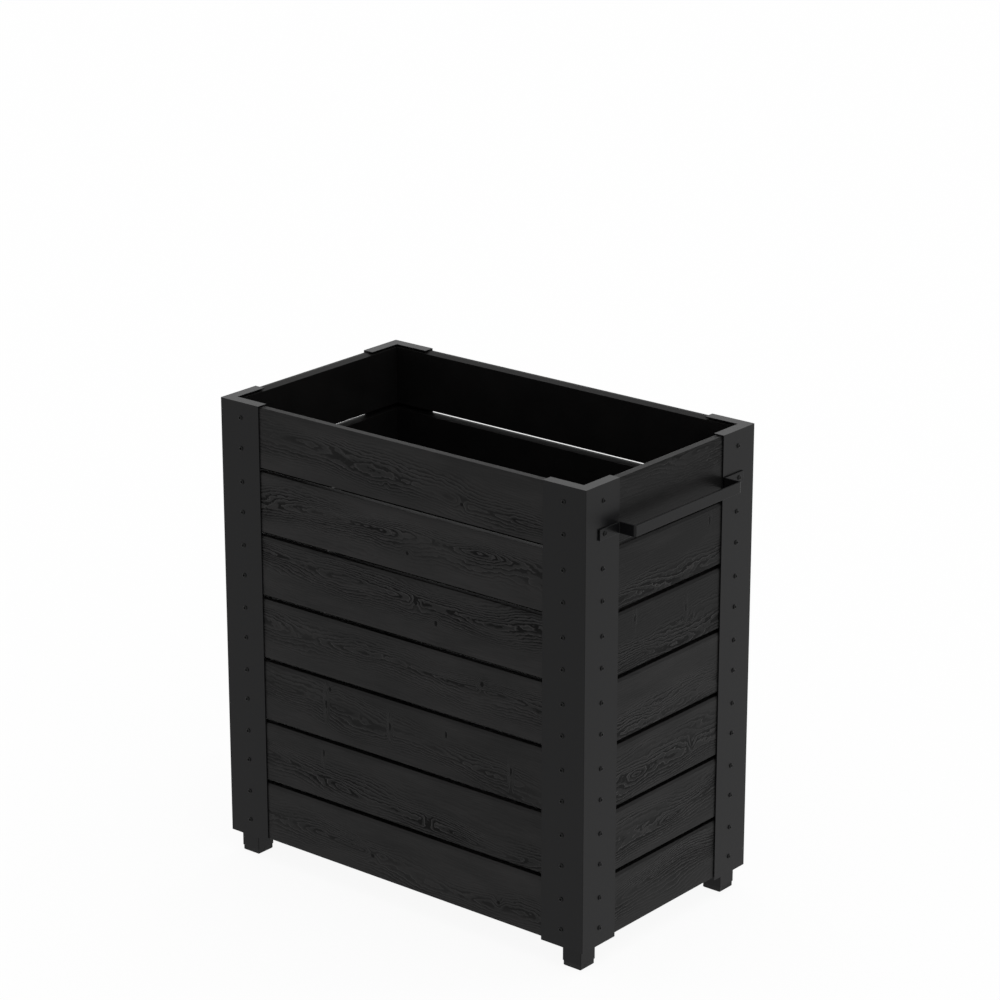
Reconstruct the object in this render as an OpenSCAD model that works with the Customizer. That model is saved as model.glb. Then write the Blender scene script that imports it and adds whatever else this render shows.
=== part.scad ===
// Raised planter box: walls of black stained boards screwed between four steel angle corner posts.
// Units are millimetres. +Z is up, the long front faces -Y and the carrying handle is on the +X end.
// The origin is on the floor, in the middle of the whole footprint with the handle.

/* [Overall size] */
// Length of the box over the corner posts
box_length = 750; // [500:10:1200]
// Depth of the box over the corner posts, front to back
box_depth = 432; // [340:4:800]
// Height from the floor to the top of the posts
box_height = 800; // [600:10:1000]

/* [Wall boards] */
// Thickness of a wall board
board_thick = 19; // [16:1:26]
// Open slot between one board and the next, for air and drainage
board_slot = 8.5; // [4:0.5:16]
// Rounding along the lower edges of a board
board_round = 1; // [0.5:0.5:3]
// Height of the bevel along the upper outer edge of a wall board
bevel_height = 5; // [1:0.5:10]
// Depth of that bevel, measured into the board
bevel_depth = 2; // [0.5:0.5:6]
// Fall of the top of a wall board towards the inside of the box
board_fall = 3; // [0.5:0.5:5]
// Space between the top board and the top return of the post
board_drop = 0.3; // [0.1:0.1:6]

/* [Corner posts] */
// Width of each flange of the post, seen from outside
post_flange = 82.5; // [70:0.5:100]
// Thickness of the steel sheet
post_sheet = 2; // [1.5:0.5:4]
// Radius inside the corner of the post
post_bend = 1; // [0.5:0.5:3]
// Radius outside the corner of the post, where the weld is ground flush
post_corner = 0.8; // [0.4:0.2:3]
// Width of the top return that covers the board ends
return_width = 19; // [12:1:26]
// Height of the lower edge of the post above the floor
post_lift = 38; // [25:0.5:70]
// Lip of the post below the lowest board
post_lip = 5; // [4:0.5:12]

/* [Feet] */
// Outside width of the square foot tube
foot_tube = 36.5; // [30:0.5:44]
// Radius of the corners of the foot tube
tube_corner = 1.2; // [0.6:0.2:4]
// Wall thickness of the foot tube
foot_wall = 2; // [1.5:0.5:3]
// Middle of the foot from the outer faces of the post
foot_inset = 30.5; // [27:0.5:40]
// Thickness of the plate that the foot tube is welded to
foot_plate = 3; // [2:0.5:4]
// Height of the plastic pad under the tube
pad_height = 9; // [5:0.5:14]
// Width by which the pad is smaller than the tube, on each side
pad_step = 1; // [0.5:0.5:3]
// Depth of the plug of the pad inside the tube
plug_depth = 14; // [8:1:15]

/* [Screws] */
// Shank diameter of the wall screws
screw_shank = 4; // [3:0.5:5]
// Head diameter of the wall screws
screw_head = 8; // [6.5:0.5:9]
// Height of the domed head
head_height = 2; // [1.5:0.25:3]
// Length of the wall screws under the head
screw_length = 16; // [12:1:17]
// Distance between the two screws of one board
screw_spread = 52; // [30:1:60]
// Distance of a screw from the outer corner of the post
screw_inset = 43; // [40:1:50]

/* [Handle] */
// How far the grip stands out from the post
handle_reach = 33; // [24:1:50]
// How far each leg of the handle laps over the flange, from its inner edge
leg_lap = 3.5; // [0:0.5:10]
// Height of the flat strap
strap_width = 18; // [14:1:26]
// Thickness of the strap
strap_thick = 3; // [2:0.5:4]
// Radius inside the bends of the strap
strap_bend = 0.5; // [0.5:0.5:6]
// Length of strap past the screw at each end
strap_tail = 12; // [8:1:18]

/* [Floor] */
// Height and width of the two bearers that carry the floor
bearer_size = 28; // [20:1:36]
// Thickness of a floor slat
slat_thick = 15; // [12:1:22]
// Drainage slot between two floor slats
slat_slot = 8; // [4:0.5:15]

/* [Hidden] */
$fn = 48;

// Clearances: sawn timber ends, a shank in its hole, a plug in its tube
wood_play = 0.8;
shank_play = 0.15;
plug_play = 0.3;

// Each wall is seven boards high and the floor is seven slats long
board_rows = 7;
slat_count = 7;

// Seat of the lowest board and the height of one board
seat_z = post_lift + post_lip;
wall_top = box_height - post_sheet - board_drop;
board_height = (wall_top - seat_z - (board_rows - 1) * board_slot) / board_rows;

// Radius outside the bends of the strap
strap_fold = strap_thick + strap_bend;

// Distances from the outer faces of the posts to the two faces of a wall board
wall_out = post_sheet;
wall_in = post_sheet + board_thick;

// Lengths of the long boards, the end boards and the inside of the box
long_length = box_length - 2 * (post_sheet + wood_play);
end_length = box_depth - 2 * (wall_in + wood_play);
inner_length = box_length - 2 * wall_in;
inner_depth = box_depth - 2 * wall_in;

// The screw heads on the left end and the handle on the right end set the middle of the footprint
middle_x = -(handle_reach - head_height) / 2;

// The handle is held by the second screw from the top
handle_row = 1;

// Long screws that hold the bearers, and how far they reach into the board
bearer_bite = 10;
bearer_screw = bearer_size + bearer_bite;
// Countersunk screws of the floor, which stop short of the underside of the bearer
slat_stop = 9;
slat_screw = slat_thick + bearer_size - slat_stop;
slat_head = 8;
slat_cone = 2.6;
// Length of the point of a screw, and the depth of its drive recess
screw_point = 3;
recess_depth = 1.2;
// A pilot hole runs on past the end of its screw, and past the face it starts from
pilot_past = 1;
bite_from = board_thick - bearer_bite - pilot_past;

// Foot plate: margin round the tube, inner corner cut off, outer corner notched round the fillet of the post
plate_margin = 10;
plate_cut = 24;
plate_notch = 5;
// Plastic pad: small step round its lower edge, then the wall, corners and grooves of its plug
pad_edge = 1;
plug_wall = 3;
plug_corner = 1.2;
rib_groove = 0.8;

// Floor slats share the inner length, with one small space at each end
slat_end = 4;
slat_width = (inner_length - 2 * slat_end - (slat_count - 1) * slat_slot) / slat_count;
slat_z = seat_z + bearer_size;

// Height of the lower edge of board number i, counted from the top
function board_z(i) = wall_top - i * board_height - (i - 1) * board_slot;
// Height of screw number k of a post flange, counted from the top from 0
function screw_z(k) =
    board_z(floor(k / 2) + 1) + board_height / 2 + (k % 2 == 0 ? 1 : -1) * screw_spread / 2;
// Middle of floor slat number i
function slat_x(i) = -inner_length / 2 + slat_end + slat_width / 2 + (i - 1) * (slat_width + slat_slot);
// Bearer screw number i stands under the slot after slat number i, clear of the screws of the slats
function bearer_x(i) = slat_x(i) + (slat_width + slat_slot) / 2;

// Moves a piece built from the middle of the posts to the middle of the whole footprint
module in_place() {
    translate([middle_x, 0, 0]) children();
}

// Puts a corner piece at one corner; inside it +X and +Y point into the box
module at_corner(side, face) {
    in_place()
        translate([side * box_length / 2, face * box_depth / 2, 0])
            mirror([side > 0 ? 1 : 0, 0, 0])
                mirror([0, face > 0 ? 1 : 0, 0])
                    children();
}

// Rectangle with rounded corners, from the origin
module soft_rectangle(width, depth, radius) {
    translate([radius, 0]) square([width - 2 * radius, depth]);
    translate([0, radius]) square([width, depth - 2 * radius]);
    for (x = [radius, width - radius], y = [radius, depth - radius])
        translate([x, y]) circle(radius);
}

// Straight bore from the origin, along +X or along +Y
module bore_x(diameter, length) {
    rotate([0, 90, 0]) cylinder(d = diameter, h = length);
}
module bore_y(diameter, length) {
    rotate([-90, 0, 0]) cylinder(d = diameter, h = length);
}

// L of two equal arms with its outer corner eased, from the origin
module corner_section(arm, width) {
    difference() {
        union() {
            square([arm, width]);
            square([width, arm]);
        }
        difference() {
            square(post_corner);
            translate([post_corner, post_corner]) circle(post_corner);
        }
    }
}

// Section of the angle: two flanges welded along the corner, with a fillet inside
module angle_section() {
    corner_section(post_flange, post_sheet);
    translate([post_sheet, post_sheet]) difference() {
        square(post_bend);
        translate([post_bend, post_bend]) circle(post_bend);
    }
}

// Corner post: angle, top return and two rows of screw holes
module post_form() {
    color([0.2, 0.2, 0.2]) difference() {
        union() {
            translate([0, 0, post_lift]) linear_extrude(box_height - post_lift - post_sheet) angle_section();
            translate([0, 0, box_height - post_sheet]) linear_extrude(post_sheet)
                corner_section(post_flange, return_width);
        }
        for (k = [0 : 2 * board_rows - 1]) {
            translate([screw_inset, -1, screw_z(k)]) bore_y(screw_shank + 1, post_sheet + 2);
            translate([-1, screw_inset, screw_z(k)]) bore_x(screw_shank + 1, post_sheet + 2);
        }
    }
}

// Foot: square tube welded under a plate that closes the lower end of the post
module foot_form() {
    plate = foot_inset + foot_tube / 2 + plate_margin;
    inside = foot_tube - 2 * foot_wall;
    inner_corner = max(tube_corner - foot_wall, 0.5);
    top = seat_z - foot_plate;
    color([0.2, 0.2, 0.2]) {
        translate([0, 0, top]) linear_extrude(foot_plate) difference() {
            translate([post_sheet, post_sheet]) square(plate - post_sheet);
            translate([post_sheet, post_sheet]) rotate(45) square(plate_notch, center = true);
            translate([plate, plate]) rotate(45) square(plate_cut, center = true);
        }
        translate([foot_inset - foot_tube / 2, foot_inset - foot_tube / 2, pad_height])
            linear_extrude(top - pad_height) difference() {
                soft_rectangle(foot_tube, foot_tube, tube_corner);
                translate([foot_wall, foot_wall]) soft_rectangle(inside, inside, inner_corner);
            }
    }
}

// Plastic pad: the part that stands on the floor, with a ribbed hollow plug inside the tube
module pad_form() {
    width = foot_tube - 2 * pad_step;
    sole = width - 2 * pad_edge;
    plug = foot_tube - 2 * foot_wall - 2 * plug_play;
    color([0.1, 0.1, 0.1]) translate([foot_inset, foot_inset, 0]) {
        translate([-width / 2, -width / 2, pad_edge]) linear_extrude(pad_height - pad_edge)
            soft_rectangle(width, width, tube_corner);
        translate([-sole / 2, -sole / 2, 0]) linear_extrude(pad_edge) soft_rectangle(sole, sole, tube_corner);
        translate([0, 0, pad_height]) linear_extrude(plug_depth) difference() {
            translate([-plug / 2, -plug / 2]) soft_rectangle(plug, plug, plug_corner);
            square(plug - 2 * plug_wall, center = true);
            for (turn = [0 : 90 : 270], step = [-1, 1])
                rotate(turn) translate([plug / 2, step * plug / 4])
                    square([2 * rib_groove, plug / 5], center = true);
        }
    }
}

// Length of plank from the origin along +X, outer face at y = 0, lower edge at z = 0
module plank(length, thick, height) {
    rotate([90, 0, 90]) linear_extrude(length) soft_rectangle(thick, height, board_round);
}

// Wall board from the origin along +X: bevelled above on the outside, its top falling inwards
module wall_board(length) {
    rotate([90, 0, 90]) linear_extrude(length) intersection() {
        soft_rectangle(board_thick, board_height + 2 * board_round, board_round);
        polygon([
            [0, 0], [board_thick, 0], [board_thick, board_height - board_fall],
            [bevel_depth, board_height], [0, board_height - bevel_height]
        ]);
    }
}

// Pilot holes of one board: two at each end, from the outer face
module pilot_holes(length, from_end) {
    for (x = [from_end, length - from_end], step = [-1, 1])
        translate([x, -pilot_past, board_height / 2 + step * screw_spread / 2])
            bore_y(screw_shank + 2 * shank_play, screw_length - post_sheet + 2 * pilot_past);
}

// Long wall board, front (face = -1) or back (face = 1), number i from the top
module long_board(face, i) {
    color([0.14, 0.13, 0.13]) in_place() mirror([0, face > 0 ? 1 : 0, 0])
        translate([-long_length / 2, wall_out - box_depth / 2, board_z(i)]) difference() {
            wall_board(long_length);
            pilot_holes(long_length, screw_inset - post_sheet - wood_play);
            // the lowest board also takes the long screws of the bearer
            if (i == board_rows)
                for (k = [1 : slat_count - 1])
                    translate([long_length / 2 + bearer_x(k), bite_from, bearer_size / 2])
                        bore_y(screw_shank + 2 * shank_play, bearer_bite + 2 * pilot_past);
        }
}

// End wall board, left (side = -1) or right (side = 1), number i from the top
module end_board(side, i) {
    color([0.14, 0.13, 0.13]) in_place() mirror([side < 0 ? 1 : 0, 0, 0])
        translate([box_length / 2 - wall_out, -end_length / 2, board_z(i)]) rotate([0, 0, 90]) difference() {
            wall_board(end_length);
            pilot_holes(end_length, screw_inset - wall_in - wood_play);
        }
}

// Bearer that carries the floor, on the inside of the lowest long board
module bearer(face) {
    length = inner_length - 2 * wood_play;
    color([0.18, 0.16, 0.15]) in_place() mirror([0, face > 0 ? 1 : 0, 0])
        translate([-length / 2, wall_in - box_depth / 2, seat_z]) difference() {
            plank(length, bearer_size, bearer_size);
            for (k = [1 : slat_count - 1])
                translate([length / 2 + bearer_x(k), -pilot_past, bearer_size / 2])
                    bore_y(screw_shank + 2 * shank_play, bearer_size + 2 * pilot_past);
            for (i = [1 : slat_count])
                translate([length / 2 + slat_x(i), bearer_size / 2, slat_stop - pilot_past])
                    cylinder(d = screw_shank + 2 * shank_play, h = bearer_size);
        }
}

// Floor slat number i, laid from front to back over the bearers
module slat(i) {
    length = inner_depth - 2 * wood_play;
    color([0.18, 0.16, 0.15]) in_place()
        translate([slat_x(i) + slat_width / 2, -length / 2, slat_z]) rotate([0, 0, 90]) difference() {
            plank(length, slat_width, slat_thick);
            for (end = [bearer_size / 2 - wood_play, length - bearer_size / 2 + wood_play])
                translate([end, slat_width / 2, 0]) {
                    translate([0, 0, -pilot_past])
                        cylinder(d = screw_shank + 2 * shank_play, h = slat_thick + 2 * pilot_past);
                    translate([0, 0, slat_thick - slat_cone - shank_play])
                        cylinder(d1 = screw_shank, d2 = slat_head + 1, h = slat_cone + 0.5);
                }
        }
}

// Domed head with a drive recess, and a shank with a point, driven along -Z
module dome_screw(length) {
    rotate_extrude() difference() {
        polygon([
            [0, -length], [screw_shank / 2, screw_point - length], [screw_shank / 2, 0], [screw_head / 2, 0],
            [screw_head / 2, head_height * 0.35], [screw_head * 0.42, head_height * 0.75],
            [screw_head * 0.26, head_height], [0, head_height]
        ]);
        translate([0, head_height - recess_depth]) square([screw_head * 0.16, 2 * recess_depth]);
    }
}

// Countersunk screw with its flat head at z = 0, driven along -Z
module flat_screw(length) {
    rotate_extrude() polygon([
        [0, -length], [screw_shank / 2, screw_point - length], [screw_shank / 2, -slat_cone],
        [slat_head / 2, 0], [0, 0]
    ]);
}

// The wall screws of one corner; those that the handle takes over are left out
module corner_screws(side, face) {
    color([0.08, 0.08, 0.08]) at_corner(side, face)
        for (k = [0 : 2 * board_rows - 1]) {
            translate([screw_inset, 0, screw_z(k)]) rotate([90, 0, 0]) dome_screw(screw_length);
            if (side < 0 || k != handle_row)
                translate([0, screw_inset, screw_z(k)]) rotate([0, -90, 0]) dome_screw(screw_length);
        }
}

// Quarter of a bend in the strap, around the origin, between +X and +Y
module strap_quarter() {
    intersection() {
        difference() {
            circle(strap_fold);
            circle(strap_bend);
        }
        square(strap_fold);
    }
}

// Handle: one flat strap bent into a wide U with a tab at each end, seen here from above
module handle_section() {
    leg = box_depth / 2 - post_flange + leg_lap;
    tip = box_depth / 2 - screw_inset + strap_tail;
    tab = leg + strap_bend;
    translate([handle_reach - strap_thick, strap_fold - leg]) square([strap_thick, 2 * (leg - strap_fold)]);
    for (end = [0, 1]) mirror([0, end]) {
        translate([handle_reach - strap_fold, leg - strap_fold]) strap_quarter();
        translate([strap_fold, leg - strap_thick]) square([handle_reach - 2 * strap_fold, strap_thick]);
        translate([strap_fold, tab]) rotate(180) strap_quarter();
        translate([0, tab]) square([strap_thick, tip - tab]);
    }
}

module handle() {
    color([0.2, 0.2, 0.2]) in_place() translate([box_length / 2, 0, screw_z(handle_row)]) difference() {
        translate([0, 0, -strap_width / 2]) linear_extrude(strap_width) handle_section();
        for (end = [-1, 1])
            translate([-1, end * (box_depth / 2 - screw_inset), 0]) bore_x(screw_shank + 1, strap_thick + 2);
    }
}

module screws_handle() {
    color([0.08, 0.08, 0.08]) in_place() for (end = [-1, 1])
        translate([box_length / 2 + strap_thick, end * (box_depth / 2 - screw_inset), screw_z(handle_row)])
            rotate([0, 90, 0]) dome_screw(screw_length + strap_thick);
}

module screws_bearers() {
    color([0.08, 0.08, 0.08]) in_place() for (end = [0, 1]) mirror([0, end, 0])
        for (k = [1 : slat_count - 1])
            translate([bearer_x(k), wall_in + bearer_size - box_depth / 2, seat_z + bearer_size / 2])
                rotate([-90, 0, 0]) dome_screw(bearer_screw);
}

module screws_slats() {
    color([0.08, 0.08, 0.08]) in_place() for (i = [1 : slat_count], end = [-1, 1])
        translate([slat_x(i), end * (inner_depth / 2 - bearer_size / 2), slat_z + slat_thick])
            flat_screw(slat_screw);
}

module post_front_left() { at_corner(-1, -1) post_form(); }
module post_front_right() { at_corner(1, -1) post_form(); }
module post_back_left() { at_corner(-1, 1) post_form(); }
module post_back_right() { at_corner(1, 1) post_form(); }
module foot_front_left() { at_corner(-1, -1) foot_form(); }
module foot_front_right() { at_corner(1, -1) foot_form(); }
module foot_back_left() { at_corner(-1, 1) foot_form(); }
module foot_back_right() { at_corner(1, 1) foot_form(); }
module pad_front_left() { at_corner(-1, -1) pad_form(); }
module pad_front_right() { at_corner(1, -1) pad_form(); }
module pad_back_left() { at_corner(-1, 1) pad_form(); }
module pad_back_right() { at_corner(1, 1) pad_form(); }

post_front_left();
post_front_right();
post_back_left();
post_back_right();
foot_front_left();
foot_front_right();
foot_back_left();
foot_back_right();
pad_front_left();
pad_front_right();
pad_back_left();
pad_back_right();
long_board(-1, 1);  // board_front_1
long_board(-1, 2);  // board_front_2
long_board(-1, 3);  // board_front_3
long_board(-1, 4);  // board_front_4
long_board(-1, 5);  // board_front_5
long_board(-1, 6);  // board_front_6
long_board(-1, 7);  // board_front_7
long_board(1, 1);  // board_back_1
long_board(1, 2);  // board_back_2
long_board(1, 3);  // board_back_3
long_board(1, 4);  // board_back_4
long_board(1, 5);  // board_back_5
long_board(1, 6);  // board_back_6
long_board(1, 7);  // board_back_7
end_board(-1, 1);  // board_left_1
end_board(-1, 2);  // board_left_2
end_board(-1, 3);  // board_left_3
end_board(-1, 4);  // board_left_4
end_board(-1, 5);  // board_left_5
end_board(-1, 6);  // board_left_6
end_board(-1, 7);  // board_left_7
end_board(1, 1);  // board_right_1
end_board(1, 2);  // board_right_2
end_board(1, 3);  // board_right_3
end_board(1, 4);  // board_right_4
end_board(1, 5);  // board_right_5
end_board(1, 6);  // board_right_6
end_board(1, 7);  // board_right_7
bearer(-1);  // bearer_front
bearer(1);  // bearer_back
slat(1);  // slat_1
slat(2);  // slat_2
slat(3);  // slat_3
slat(4);  // slat_4
slat(5);  // slat_5
slat(6);  // slat_6
slat(7);  // slat_7
handle();
corner_screws(-1, -1);  // screws_front_left
corner_screws(1, -1);  // screws_front_right
corner_screws(-1, 1);  // screws_back_left
corner_screws(1, 1);  // screws_back_right
screws_handle();
screws_bearers();
screws_slats();
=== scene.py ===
# Raised planter box: black stained boards screwed between four steel angle corner posts.
# Units are metres. The box stands on z = 0 with its long front towards -Y and its handle at +X.
import math
import random

import bmesh
import bpy
from mathutils import Euler, Matrix, Vector


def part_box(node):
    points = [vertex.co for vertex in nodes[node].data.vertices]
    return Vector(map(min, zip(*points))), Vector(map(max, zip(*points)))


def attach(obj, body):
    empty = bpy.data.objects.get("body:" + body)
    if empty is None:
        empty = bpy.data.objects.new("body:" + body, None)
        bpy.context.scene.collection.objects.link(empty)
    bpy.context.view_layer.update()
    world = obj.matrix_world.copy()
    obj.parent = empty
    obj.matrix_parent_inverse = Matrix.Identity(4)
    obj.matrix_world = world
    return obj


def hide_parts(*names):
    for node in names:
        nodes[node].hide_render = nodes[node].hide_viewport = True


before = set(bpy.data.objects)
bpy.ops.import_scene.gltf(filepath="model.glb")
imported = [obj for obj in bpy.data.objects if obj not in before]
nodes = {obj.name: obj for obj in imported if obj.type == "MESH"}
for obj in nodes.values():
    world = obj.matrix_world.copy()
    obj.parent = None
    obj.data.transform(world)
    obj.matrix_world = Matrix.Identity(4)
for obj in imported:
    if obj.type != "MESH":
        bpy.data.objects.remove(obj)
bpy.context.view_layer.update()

MM = 0.001


# Wall boards
# Seven planed spruce boards on each side, flat sawn, bevelled along both upper edges so that rain
# runs off, then wire brushed outside and soaked in black stain. Two screws hold each end to a post.

board_thick = 19 * MM
bevel_height = 5 * MM
bevel_depth = 2 * MM
inner_bevel_height = 2.5 * MM
inner_bevel_depths = {"front": 6.5 * MM, "right": 6.5 * MM, "back": 12 * MM, "left": 12 * MM}
lower_round = 0.5 * MM
upper_ease = 0.3 * MM
end_ease = 0.8 * MM
swell = 0.5 * MM  # across the grain, which narrows the gaps between the boards


def linear(hex_colour):
    """sRGB hex colour as linear RGBA."""
    channels = [int(hex_colour[i:i + 2], 16) / 255 for i in (1, 3, 5)]
    return [c / 12.92 if c <= 0.04045 else ((c + 0.055) / 1.055) ** 2.4 for c in channels] + [1.0]


def new_material(name):
    """An empty node material."""
    material = bpy.data.materials.new(name)
    material.use_nodes = True
    material.node_tree.nodes.clear()
    return material


def add_node(tree, kind, settings=None, **inputs):
    """Adds a node with its settings. An input, by name or by number as _0, takes a value or an output."""
    made = tree.nodes.new("ShaderNode" + kind)
    for key, value in (settings or {}).items():
        setattr(made, key, value)
    for key, value in inputs.items():
        socket = made.inputs[int(key[1:])] if key[0] == "_" else made.inputs[key.replace("_", " ")]
        if isinstance(value, bpy.types.Node):
            value = value.outputs[0]
        if isinstance(value, bpy.types.NodeSocket):
            tree.links.new(value, socket)
        else:
            socket.default_value = value
    return made


def pith_distance(tree, local, pick, pith_height, pith_slope):
    """Distance in millimetres from a pith that runs behind the face, wanders and tilts; and its ripple."""
    place = add_node(tree, "SeparateXYZ", Vector=local)
    pith_depth = pick.uniform(10, 22)
    tilt = pick.choice((-1, 1)) * pick.uniform(0.01, 0.04)
    # the trunk wanders over some 210 mm, by 25 mm up and down and 35 mm in and out
    stretch = add_node(tree, "Mapping", Vector=local, Scale=(1 / 210, 1 / 60, 1 / 70),
                       Location=[pick.uniform(0, 50) for _ in range(3)])
    waver = add_node(tree, "TexNoise", Vector=stretch, Scale=1.0, Detail=1.0, Roughness=0.4)
    waver = add_node(tree, "SeparateXYZ", Vector=waver.outputs["Color"])
    stretch = add_node(tree, "Mapping", Vector=local, Scale=(1 / 20, 1 / 12, 1 / 8),
                       Location=[pick.uniform(0, 50) for _ in range(3)])
    ripple = add_node(tree, "TexNoise", Vector=stretch, Scale=1.0, Detail=2.0, Roughness=0.6)

    swing = add_node(tree, "Math", {"operation": "MULTIPLY_ADD"}, _0=waver.outputs[0], _1=50.0,
                     _2=-25.0 - pith_height)
    sloped = add_node(tree, "Math", {"operation": "MULTIPLY_ADD"}, _0=place.outputs[0], _1=-pith_slope,
                      _2=swing)
    across = add_node(tree, "Math", {"operation": "ADD"}, _0=place.outputs[2], _1=sloped)
    plunge = add_node(tree, "Math", {"operation": "MULTIPLY_ADD"}, _0=waver.outputs[1], _1=70.0,
                      _2=-35.0 + pith_depth)
    lean = add_node(tree, "Math", {"operation": "MULTIPLY_ADD"}, _0=place.outputs[0], _1=tilt, _2=plunge)
    deep = add_node(tree, "Math", {"operation": "ADD"}, _0=place.outputs[1], _1=lean)
    ray = add_node(tree, "CombineXYZ", X=across, Y=deep)
    radius = add_node(tree, "VectorMath", {"operation": "LENGTH"}, _0=ray).outputs["Value"]
    # the rings themselves ripple by up to 7 mm, over some 20 mm
    return add_node(tree, "Math", {"operation": "MULTIPLY_ADD"}, _0=ripple, _1=7.0, _2=radius), ripple


def with_knots(tree, local, radius, ripple, knots):
    """Rings that flow round each knot, and the ragged oval cores of the knots, if there are any."""
    core = None
    for along, up, half_width, half_height in knots:
        moved = add_node(tree, "Mapping", Vector=local, Scale=(1 / half_width, 0, 1 / half_height),
                         Location=(-along / half_width, 0, -up / half_height))
        reach = add_node(tree, "VectorMath", {"operation": "LENGTH"}, _0=moved).outputs["Value"]
        reach = add_node(tree, "Math", {"operation": "MULTIPLY_ADD"}, _0=ripple, _1=1.2, _2=reach)
        near = add_node(tree, "MapRange", {"interpolation_type": "SMOOTHSTEP"}, Value=reach, _1=1.2,
                        _2=6.0, _3=half_height * 2.2, _4=0.0)
        radius = add_node(tree, "Math", {"operation": "ADD"}, _0=radius, _1=near)
        inside = add_node(tree, "MapRange", {"interpolation_type": "SMOOTHSTEP"}, Value=reach, _1=1.2,
                          _2=1.9, _3=1.0, _4=0.0)
        if core is not None:
            inside = add_node(tree, "Math", {"operation": "MAXIMUM"}, _0=core, _1=inside)
        core = inside
    return radius, core


def ring_profile(tree, radius, ring_width):
    """Each year is plain wood, 0.5, that ends in a raised pale edge, 0.95, and a dark groove, 0."""
    turns = add_node(tree, "Math", {"operation": "DIVIDE"}, _0=radius, _1=ring_width)
    phase = add_node(tree, "Math", {"operation": "FRACT"}, _0=turns)
    profile = add_node(tree, "ValToRGB", Fac=phase)
    ramp = profile.color_ramp
    ramp.interpolation = "EASE"
    ramp.elements[0].position = 0.20
    ramp.elements[0].color = (0.5, 0.5, 0.5, 1)
    ramp.elements[1].position = 0.38
    ramp.elements[1].color = (0.95, 0.95, 0.95, 1)
    for position, level in ((0.56, 0.0), (0.80, 0.0), (1.0, 0.5)):
        ramp.elements.new(position).color = (level, level, level, 1)
    return profile


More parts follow.
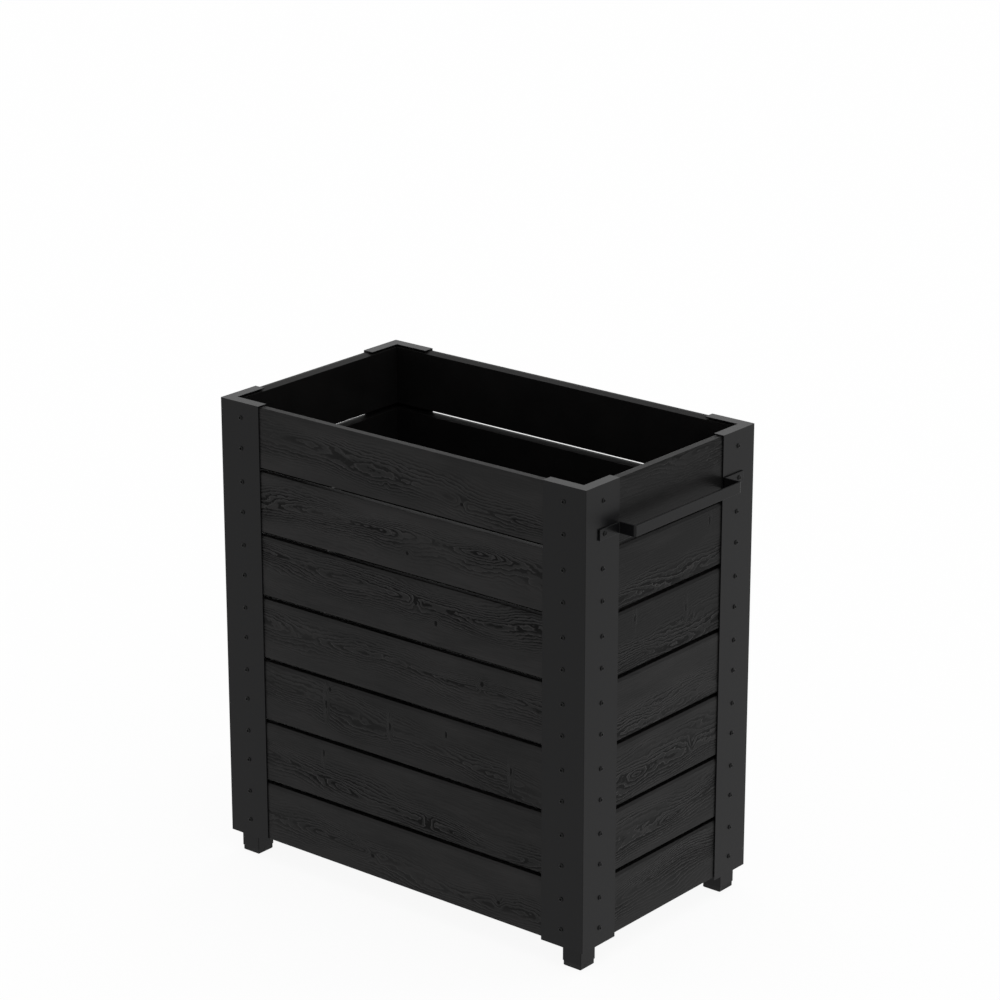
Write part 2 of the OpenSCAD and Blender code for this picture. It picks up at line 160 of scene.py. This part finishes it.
def stained_spruce(name, centre, turn, seed, pith_height, pith_slope, figure, soak, knots):
    """Flat sawn spruce, brushed and stained black, with the board's own middle, turn and growth.

    Its rings cut the face in arches, long eyes and parallel lines. The stain gathers in grooves about
    1 mm wide, and the edge of each ring beside them is rubbed pale. The pith's height is in millimetres
    from the middle and its slope is along the board. Figure is how strongly the rings show, and soak how
    dark and dull the plain wood is. A knot is (along, across, half width, half height) in millimetres.
    """
    pick = random.Random(seed)
    material = new_material(name)
    tree = material.node_tree
    ring_width = pick.uniform(3.8, 5.0)

    # millimetres from the middle of the board: x along it, y through it, z across it
    coords = add_node(tree, "TexCoord")
    local = add_node(tree, "Mapping", Vector=coords.outputs["Object"], Scale=(1000, 1000, 1000),
                     Rotation=turn, Location=Euler(turn).to_matrix() @ Vector(centre) * -1000)
    radius, ripple = pith_distance(tree, local, pick, pith_height, pith_slope)
    radius, core = with_knots(tree, local, radius, ripple, knots)
    profile = ring_profile(tree, radius, ring_width)

    # the rings show most near the pith and fade out in patches some 160 mm long
    near_pith = add_node(tree, "MapRange", {"interpolation_type": "SMOOTHSTEP"}, Value=radius, _1=18.0,
                         _2=48.0, _3=1.0, _4=0.15)
    stretch = add_node(tree, "Mapping", Vector=local, Scale=(1 / 160, 1 / 40, 1 / 30),
                       Location=[pick.uniform(0, 50) for _ in range(3)])
    patch = add_node(tree, "TexNoise", Vector=stretch, Scale=1.0, Detail=1.0)
    patch = add_node(tree, "MapRange", Value=patch, _1=0.34, _2=0.56, _3=0.3 * figure, _4=figure)
    shown = add_node(tree, "Math", {"operation": "MULTIPLY"}, _0=near_pith, _1=patch)
    ring = add_node(tree, "Math", {"operation": "SUBTRACT"}, _0=profile, _1=0.5)
    ring = add_node(tree, "Math", {"operation": "MULTIPLY_ADD"}, _0=ring, _1=shown, _2=0.5)
    # the eyes, where the innermost rings close, are a little darker, and knots are darkest
    eye = add_node(tree, "MapRange", {"interpolation_type": "SMOOTHSTEP"}, Value=radius, _1=7.0, _2=13.0,
                   _3=0.1, _4=0.0)
    ring = add_node(tree, "Math", {"operation": "SUBTRACT"}, _0=ring, _1=eye)
    if core is not None:
        ring = add_node(tree, "Math", {"operation": "SUBTRACT", "use_clamp": True}, _0=ring, _1=core)
    rubbed = add_node(tree, "MapRange", Value=ring, _1=0.5, _2=1.0, _3=0.0, _4=1.0)
    sunk = add_node(tree, "MapRange", Value=ring, _1=0.0, _2=0.5, _3=1.0, _4=0.0)

    # plain wood: fibres 1.6 mm wide, drawn coarser than real so that they show, and stain blotches
    stretch = add_node(tree, "Mapping", Vector=local, Scale=(1 / 45, 1 / 3, 1 / 1.6),
                       Location=[pick.uniform(0, 50) for _ in range(3)])
    fibre = add_node(tree, "TexNoise", Vector=stretch, Scale=1.0, Detail=2.0, Roughness=0.6)
    stretch = add_node(tree, "Mapping", Vector=local, Scale=(1 / 140, 1 / 40, 1 / 32),
                       Location=[pick.uniform(0, 50) for _ in range(3)])
    blotch = add_node(tree, "TexNoise", Vector=stretch, Scale=1.0, Detail=3.0, Roughness=0.55)
    ground = add_node(tree, "Math", {"operation": "MULTIPLY_ADD"}, _0=fibre, _1=0.5, _2=blotch)
    ground = add_node(tree, "MapRange", Value=ground, _1=0.45, _2=1.05, _3=0.0, _4=1.0)
    ground = add_node(tree, "Math", {"operation": "MULTIPLY_ADD", "use_clamp": True}, _0=shown, _1=-0.35,
                      _2=ground)
    ground = add_node(tree, "Math", {"operation": "SUBTRACT", "use_clamp": True}, _0=ground, _1=soak)
    stain = add_node(tree, "Mix", {"data_type": "RGBA"}, _0=ground, _6=linear("#171717"),
                     _7=linear("#2a2929"))
    stain = add_node(tree, "Mix", {"data_type": "RGBA"}, _0=rubbed, _6=stain.outputs[2],
                     _7=linear("#2c2b2b"))
    stain = add_node(tree, "Mix", {"data_type": "RGBA"}, _0=sunk, _6=stain.outputs[2],
                     _7=linear("#010101"))

    # rubbed edges are smoothest; the grooves hold dull stain and dust, so they hardly shine
    relief = add_node(tree, "Math", {"operation": "MULTIPLY_ADD"}, _0=fibre, _1=0.2, _2=ring)
    bump = add_node(tree, "Bump", Height=relief, Strength=1.0, Distance=0.8 * MM)
    gloss = add_node(tree, "MapRange", Value=ring, _3=0.38, _4=0.28)
    shine = add_node(tree, "Mix", {"data_type": "RGBA"}, _0=sunk, _6=(1, 1, 1, 1),
                     _7=(0.35, 0.35, 0.35, 1))
    shader = add_node(tree, "BsdfPrincipled", Base_Color=stain.outputs[2], Roughness=gloss, Normal=bump,
                      IOR=1.5, Specular_IOR_Level=0.105 - 0.06 * soak, Specular_Tint=shine.outputs[2])
    add_node(tree, "OutputMaterial", Surface=shader)
    return material


def sawn_spruce_painted_shade(name):
    """The inner face, edges and ends of a board: sawn, not brushed, so they keep the whole dull coat, and
    coloured darker than the brushed face as painted shade for the inside of the box and the gaps between
    the boards.
    """
    material = new_material(name)
    tree = material.node_tree
    coords = add_node(tree, "TexCoord").outputs["Object"]
    # fuzz of the saw, 2 mm, and soaked patches some 60 mm across
    fuzz = add_node(tree, "TexNoise", Vector=coords, Scale=500.0, Detail=2.0)
    soaked = add_node(tree, "TexNoise", Vector=coords, Scale=16.0, Detail=3.0, Roughness=0.5)
    # these darker colours are partly the sawn wood's own and partly painted shade for the inside of the
    # box and the gaps between the boards
    shade = add_node(tree, "Mix", {"data_type": "RGBA"}, _0=soaked, _6=linear("#0c0c0c"),
                     _7=linear("#151414"))
    gloss = add_node(tree, "MapRange", Value=soaked, _1=0.3, _2=0.7, _3=0.36, _4=0.42)
    bump = add_node(tree, "Bump", Height=fuzz, Strength=0.3, Distance=0.2 * MM)
    shader = add_node(tree, "BsdfPrincipled", Base_Color=shade.outputs[2], Roughness=gloss, Normal=bump,
                      IOR=1.5, Specular_IOR_Level=0.065)
    add_node(tree, "OutputMaterial", Surface=shader)
    return material


def finished_piece(name, mesh_source, material, slot, *replaced):
    """Makes a bmesh a piece of the object, which rides on its one body and stands for CAD nodes."""
    bmesh.ops.remove_doubles(mesh_source, verts=mesh_source.verts, dist=0.01 * MM)
    bmesh.ops.recalc_face_normals(mesh_source, faces=mesh_source.faces)
    mesh = bpy.data.meshes.new(name)
    mesh_source.to_mesh(mesh)
    mesh_source.free()
    piece = bpy.data.objects.new(name, mesh)
    bpy.context.scene.collection.objects.link(piece)
    mesh.materials.append(material)
    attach(piece, "root")
    if replaced:
        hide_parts(*replaced)
    return piece


def ease(bm, edges, offset, segments):
    """Rounds these edges by an offset."""
    bmesh.ops.bevel(bm, geom=edges, offset=offset, offset_type="OFFSET", affect="EDGES",
                    segments=segments, profile=0.5, material=-1)


def reach_along(edge):
    """How far an edge reaches along X."""
    return abs(edge.verts[0].co.x - edge.verts[1].co.x)


def wall_board(length, height, inner_bevel_depth):
    """Board from -length / 2 to length / 2 along X, outer face at y = 0, lower edge at z = 0."""
    bm = bmesh.new()
    outline = ((0, 0), (board_thick, 0), (board_thick, height - inner_bevel_height),
               (board_thick - inner_bevel_depth, height), (bevel_depth, height),
               (0, height - bevel_height))
    sawn_end = bm.faces.new([bm.verts.new((-length / 2, y, z)) for y, z in outline])
    grown = bmesh.ops.extrude_face_region(bm, geom=[sawn_end], use_keep_orig=True)["geom"]
    bmesh.ops.translate(bm, verts=[v for v in grown if isinstance(v, bmesh.types.BMVert)],
                        vec=(length, 0, 0))
    ease(bm, [e for e in bm.edges if reach_along(e) > length / 2 and e.verts[0].co.z < height / 2],
         lower_round, 4)
    # the upper edges, apart from the one on the inner face, which stays sharp
    ease(bm, [e for e in bm.edges if reach_along(e) > length / 2 and e.verts[0].co.z > height / 2
              and e.verts[0].co.y < board_thick - inner_bevel_depth / 2], upper_ease, 3)
    ease(bm, [e for e in bm.edges if reach_along(e) < MM / 100], end_ease, 2)
    bm.normal_update()
    # the outer face is brushed, and the others are as sawn, in a darker colour that is partly painted
    # shade
    for face in bm.faces:
        face.material_index = 0 if face.normal.y < -0.5 else 1
    return bm


# height and slope of the pith, figure, soak and knots of the boards that the photograph shows
seen_growth = {
    "front_1": (-6, -0.07, 0.7, 0.0, [(-22, -21, 2, 2), (132, -22, 3, 3)]),
    "front_2": (2, 0.0, 1.0, -0.1, [(20, -18, 3, 3)]),
    "front_3": (20, 0.0, 1.0, 0.0, [(78, -12, 3, 4), (37, 12, 3, 3)]),
    "front_4": (4, -0.02, 0.7, 0.0, [(172, 18, 3, 4)]),
    "front_5": (-6, -0.10, 0.6, 0.1, [(-148, 38, 3, 3), (-157, 9, 1.6, 8), (-20, 5, 1.5, 7),
                                      (98, 23, 2, 5), (230, -4, 1.6, 8)]),
    "front_6": (-27, -0.05, 1.0, 0.1, [(-164, 30, 1.5, 6), (60, -30, 3, 3)]),
    "front_7": (-18, -0.04, 0.6, 0.0, [(-60, -14, 4, 3), (205, -18, 3, 3)]),
    "right_1": (46, 0.0, 0.7, 0.4, []),
    "right_2": (-44, 0.02, 1.0, 0.45, [(102, 30, 1.6, 6)]),
    "right_3": (-34, 0.05, 1.0, 0.45, [(43, 10, 1.6, 6), (60, -8, 1.6, 3), (-89, 30, 1.5, 6)]),
    "right_4": (-36, 0.02, 0.9, 0.2, []),
    "right_5": (-8, 0.03, 1.0, 0.2, [(66, -10, 3, 3)]),
    "right_6": (-2, 0.02, 1.0, 0.2, []),
    "right_7": (10, 0.05, 0.9, 0.2, []),
}


def unseen_growth(pick, length):
    """The same five things for a board that the photograph doesn't show."""
    knots = [(pick.uniform(-0.45, 0.45) * length, pick.uniform(-34, 34), pick.uniform(1.8, 3.2),
              pick.uniform(2.5, 6.0)) for _ in range(pick.choice((0, 1, 2)))]
    return pick.uniform(-40, 30), pick.uniform(-0.06, 0.06), pick.uniform(0.6, 1.0), 0.05, knots


# the sawn faces are coloured darker, partly as painted shade inside the box and in the gaps between the
# boards
edge_timber_painted_shade = sawn_spruce_painted_shade("black stained sawn spruce edges with painted shade")
for side, turn in (("front", 0), ("back", math.pi), ("left", -math.pi / 2), ("right", math.pi / 2)):
    for row in range(1, 8):
        board = f"board_{side}_{row}"
        low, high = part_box(board)
        centre = (low + high) / 2
        size = high - low
        length = size.x if side in ("front", "back") else size.y
        outer = {"front": (centre.x, low.y), "back": (centre.x, high.y), "left": (low.x, centre.y),
                 "right": (high.x, centre.y)}[side]
        growth = seen_growth.get(f"{side}_{row}") or unseen_growth(random.Random(f"{side}{row}"), length)
        timber = stained_spruce(f"black stained brushed spruce {side} {row}", centre, (0, 0, -turn),
                                f"{side} {row} rings", *growth)
        # the lowest boards don't swell, because they end at the lips of the posts
        extra = swell if row < 7 else 0.0
        shape = wall_board(length, size.z + extra, inner_bevel_depths[side])
        bmesh.ops.transform(shape, verts=shape.verts, matrix=Matrix.Translation((*outer, low.z - extra))
                            @ Matrix.Rotation(turn, 4, "Z"))
        piece = finished_piece(f"wall_{board}", shape, timber, "stained_boards", board)
        piece.data.materials.append(edge_timber_painted_shade)


# Floor of the box
# Two square bearers along the lowest long boards carry seven slats. The same spruce,
# sawn rather than brushed, dipped in the same stain.

def dress(node_name, material):
    """Gives a CAD node one material."""
    node = nodes[node_name]
    node.data.materials.clear()
    node.data.materials.append(material)


floor_growth = (0.0, 0.0, 0.6, 0.1, [])
for name in [n for n in nodes if n.startswith(("bearer", "slat"))]:
    low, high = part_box(name)
    turn = (0, 0, 0) if name.startswith("bearer") else (math.pi / 2, 0, -math.pi / 2)
    dress(name, stained_spruce(f"black stained sawn spruce {name}", (low + high) / 2, turn, name,
                               *floor_growth))


# Corner posts and feet
# Two steel flanges 2 mm thick, welded along the corner and ground flush, with a flat return welded
# on top and a square tube below, the whole powder coated matt black: a very fine even orange peel.

def dull_black_steel(name, coat_thin, coat_thick, peel_size):
    """Steel under a dull black coat, with a peel of this size in millimetres."""
    material = new_material(name)
    tree = material.node_tree
    coords = add_node(tree, "TexCoord").outputs["Object"]
    # shallow cells in the cured powder, and the film a little duller in patches some 110 mm across
    peel = add_node(tree, "TexNoise", Vector=coords, Scale=1000 / peel_size, Detail=2.0, Roughness=0.4)
    film = add_node(tree, "TexNoise", Vector=coords, Scale=9.0, Detail=3.0, Roughness=0.5)
    gloss = add_node(tree, "MapRange", Value=film, _1=0.3, _2=0.7, _3=0.29, _4=0.33)
    shade = add_node(tree, "Mix", {"data_type": "RGBA"}, _0=film, _6=linear(coat_thin),
                     _7=linear(coat_thick))
    bump = add_node(tree, "Bump", Height=peel, Strength=0.25, Distance=0.1 * MM)
    shader = add_node(tree, "BsdfPrincipled", Base_Color=shade.outputs[2], Roughness=gloss, Normal=bump,
                      IOR=1.5, Specular_IOR_Level=0.15)
    add_node(tree, "OutputMaterial", Surface=shader)
    return material


coated_steel = dull_black_steel("matt black powder coated steel", "#0d0d0e", "#101011", 1.2)
for name in [n for n in nodes if n.startswith(("post", "foot"))]:
    dress(name, coated_steel)


# Foot pads
# Black polyethylene, moulded with a fine spark texture that leaves it dull. The ribbed plug of each
# pad is pressed into the tube of its foot.

def moulded_plastic(name, colour_new, colour_scuffed):
    """Moulded plastic, duller and paler where it is scuffed."""
    material = new_material(name)
    tree = material.node_tree
    coords = add_node(tree, "TexCoord").outputs["Object"]
    # spark texture of the mould, cells of 0.6 mm, and scuffs from standing about, some 8 mm across
    spark = add_node(tree, "TexNoise", Vector=coords, Scale=1600.0, Detail=1.0)
    scuff = add_node(tree, "TexNoise", Vector=coords, Scale=120.0, Detail=4.0, Roughness=0.6)
    gloss = add_node(tree, "MapRange", Value=scuff, _1=0.35, _2=0.65, _3=0.42, _4=0.6)
    shade = add_node(tree, "Mix", {"data_type": "RGBA"}, _0=scuff, _6=linear(colour_new),
                     _7=linear(colour_scuffed))
    bump = add_node(tree, "Bump", Height=spark, Strength=0.3, Distance=0.08 * MM)
    shader = add_node(tree, "BsdfPrincipled", Base_Color=shade.outputs[2], Roughness=gloss, Normal=bump,
                      IOR=1.5, Specular_IOR_Level=0.2)
    add_node(tree, "OutputMaterial", Surface=shader)
    return material


pad_plastic = moulded_plastic("black moulded polyethylene", "#0b0b0b", "#141414")
for name in [n for n in nodes if n.startswith("pad")]:
    dress(name, pad_plastic)


# Screws
# Black zinc plated steel, cold headed: a low dome 8 mm across with a cross recess. The plating is as
# dull as the powder coat and a shade darker. Two screws go through a post into each board end.

screw_steel = dull_black_steel("black zinc plated screws", "#080808", "#0c0c0c", 0.7)
# radius and height in millimetres, from the end of the shank to the rim of the recess
head_profile = ((2.0, -12.0), (2.0, 0.0), (4.0, 0.0), (4.0, 0.8), (3.3, 1.6), (2.5, 1.95))
recess_arm = 2.1 * MM
recess_half = 0.6 * MM
recess_deep = 1.5 * MM
recess_taper = 0.55
screw_spread = 52 * MM  # between the two screws of a board end
screw_inset = 43 * MM  # from the outer corner of the post
handle_screw = 1  # of the heights from the top, the one where the handle has its own screws
quarter_turn = 1.57  # past which a cross recess looks the same


def screw_template():
    """Head and shank of one screw at the origin, head towards +Z."""
    bm = bmesh.new()
    rings = []
    for radius, z in head_profile:
        made = bmesh.ops.create_circle(bm, cap_ends=False, segments=20, radius=radius * MM)["verts"]
        bmesh.ops.translate(bm, verts=made, vec=(0, 0, z * MM))
        rings.append(list({e for v in made for e in v.link_edges}))
    for lower, upper in zip(rings, rings[1:]):
        bmesh.ops.bridge_loops(bm, edges=lower + upper)
    bmesh.ops.holes_fill(bm, edges=rings[0], sides=0)
    # cross recess: twelve corners, sunk and drawn in
    corners = []
    for quarter in range(4):
        spin = Matrix.Rotation(quarter * math.pi / 2, 3, "Z")
        for x, y in ((recess_half, recess_half), (recess_half, recess_arm), (-recess_half, recess_arm)):
            corners.append(bm.verts.new(spin @ Vector((x, y, head_profile[-1][1] * MM))))
    edges = [bm.edges.new((a, b)) for a, b in zip(corners, corners[1:] + corners[:1])]
    bmesh.ops.bridge_loops(bm, edges=rings[-1] + edges)
    sunk = bmesh.ops.extrude_edge_only(bm, edges=edges)["geom"]
    floor = [g for g in sunk if isinstance(g, bmesh.types.BMVert)]
    bmesh.ops.translate(bm, verts=floor, vec=(0, 0, -recess_deep))
    bmesh.ops.scale(bm, verts=floor, vec=(recess_taper, recess_taper, 1))
    bmesh.ops.contextual_create(bm, geom=[g for g in sunk if isinstance(g, bmesh.types.BMEdge)
                                          and all(v in floor for v in g.verts)])
    bmesh.ops.recalc_face_normals(bm, faces=bm.faces)
    pattern = bpy.data.meshes.new("screw pattern")
    bm.to_mesh(pattern)
    bm.free()
    return pattern


screw_pattern = screw_template()


def screw_group(name, node_name, places):
    """All screws of one node: places are (point, outward direction, turn of the recess)."""
    bm = bmesh.new()
    for point, outward, turn in places:
        before = len(bm.verts)
        bm.from_mesh(screw_pattern)
        bm.verts.ensure_lookup_table()
        pose = Matrix.Translation(point) @ Vector(outward).to_track_quat("Z", "Y").to_matrix().to_4x4()
        bmesh.ops.transform(bm, matrix=pose @ Matrix.Rotation(turn, 4, "Z"), verts=bm.verts[before:])
    finished_piece(name, bm, screw_steel, "black_screws", node_name)


row_boxes = [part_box(f"board_front_{row}") for row in range(1, 8)]
screw_heights = [(low.z + high.z) / 2 + step * screw_spread / 2 for low, high in row_boxes
                 for step in (1, -1)]
turning = random.Random("screws")
for face in ("front", "back"):
    for side in ("left", "right"):
        low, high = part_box(f"post_{face}_{side}")
        out_x, to_x = (low.x, -1) if side == "left" else (high.x, 1)
        out_y, to_y = (low.y, -1) if face == "front" else (high.y, 1)
        places = []
        for k, z in enumerate(screw_heights):
            places.append(((out_x - to_x * screw_inset, out_y, z), (0, to_y, 0),
                           turning.uniform(0, quarter_turn)))
            if side == "left" or k != handle_screw:
                places.append(((out_x, out_y - to_y * screw_inset, z), (to_x, 0, 0),
                               turning.uniform(0, quarter_turn)))
        screw_group(f"wall_screws_{face}_{side}", f"screws_{face}_{side}", places)
for name in ("screws_bearers", "screws_slats"):
    dress(name, screw_steel)


# Handle
# One flat steel strap, 18 by 3 mm, bent cold into a wide U with two tabs and powder coated
# with the posts. Its edges keep the small radius of rolled flat bar; one screw holds each tab.

strap_thick = 3 * MM
strap_bend = 2 * MM
strap_edge = 0.4 * MM
leg_lap = 3.5 * MM  # of each leg over the inner edge of the post
tail = 12 * MM  # from the end of a tab to its screw

strap_low, strap_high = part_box("handle")
leg_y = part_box("post_back_right")[0].y + leg_lap - strap_thick / 2
wall_x = strap_low.x + strap_thick / 2
grip_x = strap_high.x - strap_thick / 2
bm = bmesh.new()
path = ((wall_x, strap_low.y), (wall_x, -leg_y), (grip_x, -leg_y), (grip_x, leg_y), (wall_x, leg_y),
        (wall_x, strap_high.y))
line = [bm.verts.new((x, y, strap_low.z)) for x, y in path]
lower_edge = [bm.edges.new(pair) for pair in zip(line, line[1:])]
raised = bmesh.ops.extrude_edge_only(bm, edges=lower_edge)["geom"]
bmesh.ops.translate(bm, verts=[g for g in raised if isinstance(g, bmesh.types.BMVert)],
                    vec=(0, 0, strap_high.z - strap_low.z))
ease(bm, [e for e in bm.edges if len(e.link_faces) == 2], strap_bend, 8)
strap = finished_piece("strap_handle", bm, coated_steel, "coated_steel", "handle")
thickness = strap.modifiers.new("strap thickness", "SOLIDIFY")
thickness.thickness = strap_thick
thickness.offset = 0.0
thickness.use_even_offset = True
edge = strap.modifiers.new("rolled edges", "BEVEL")
edge.width = strap_edge
edge.segments = 2
edge.limit_method = "ANGLE"
edge.angle_limit = math.radians(50)

tab_face = strap_low.x + strap_thick
strap_middle = (strap_low.z + strap_high.z) / 2
screw_group("handle_screws", "screws_handle",
            [((tab_face, y, strap_middle), (1, 0, 0), turning.uniform(0, quarter_turn))
             for y in (strap_low.y + tail, strap_high.y - tail)])


# Studio
# A plain white floor under a white sky. The camera and the gloss see both as white, while the lamps
# and the sky light the object at a plain level. The floor keeps a soft shadow.

scene = bpy.context.scene
scene.view_settings.view_transform = "Standard"


def seen_as_white(tree):
    """1 for what the camera, a reflection or a refraction sees, and 0 for light on a dull surface."""
    seen = add_node(tree, "LightPath")
    shown = add_node(tree, "Math", {"operation": "MAXIMUM"}, _0=seen.outputs["Is Camera Ray"],
                     _1=seen.outputs["Is Glossy Ray"])
    return add_node(tree, "Math", {"operation": "MAXIMUM"}, _0=shown,
                    _1=seen.outputs["Is Transmission Ray"])


bpy.ops.mesh.primitive_plane_add(size=80, location=(0, 0, 0))
ground = bpy.context.object
ground.name = "studio_floor"
paper = new_material("white studio paper")
tree = paper.node_tree
matt = add_node(tree, "BsdfDiffuse", Color=(0.75, 0.75, 0.75, 1))
# where it is seen it glows nearly white, and the light that it catches adds the rest, but not in shade
catch = add_node(tree, "BsdfDiffuse", Color=(0.08, 0.08, 0.08, 1))
glow = add_node(tree, "Emission", Color=(1, 1, 1, 1), Strength=0.925)
both = add_node(tree, "AddShader", _0=catch, _1=glow)
mixed = add_node(tree, "MixShader", _0=seen_as_white(tree), _1=matt, _2=both)
add_node(tree, "OutputMaterial", Surface=mixed)
ground.data.materials.append(paper)

world = bpy.data.worlds.new("studio sky")
scene.world = world
world.use_nodes = True
sky = world.node_tree
sky.nodes.clear()
soft = add_node(sky, "Background", Color=(1, 1, 1, 1), Strength=0.5)
white = add_node(sky, "Background", Color=(1, 1, 1, 1), Strength=1.0)
mixed = add_node(sky, "MixShader", _0=seen_as_white(sky), _1=soft, _2=white)
add_node(sky, "OutputWorld", Surface=mixed)


def studio_lamp(name, strength, spread, elevation, azimuth):
    """A wide soft lamp; azimuth turns from +Y towards +X, elevation is above the floor."""
    data = bpy.data.lights.new(name, "SUN")
    data.energy = strength
    data.angle = math.radians(spread)
    lamp = bpy.data.objects.new(name, data)
    lamp.rotation_euler = (math.radians(90 - elevation), 0, math.radians(180 - azimuth))
    scene.collection.objects.link(lamp)


studio_lamp("overhead softbox", 1.0, 60, 78, 30)
studio_lamp("right softbox", 0.4, 50, 30, 110)

# fitted to the edges of the posts, boards and feet in the photograph, with no shift; angles in degrees
look_down = 18.764
turn_left = 39.344
lens = bpy.data.cameras.new("catalogue camera")
lens.sensor_width = 36.0
lens.lens = 124.28
lens.clip_end = 200.0
camera = bpy.data.objects.new("catalogue camera", lens)
camera.location = (3.345, -4.06, 2.4386)
camera.rotation_euler = (math.radians(90 - look_down), 0, math.radians(turn_left))
scene.collection.objects.link(camera)
scene.camera = camera
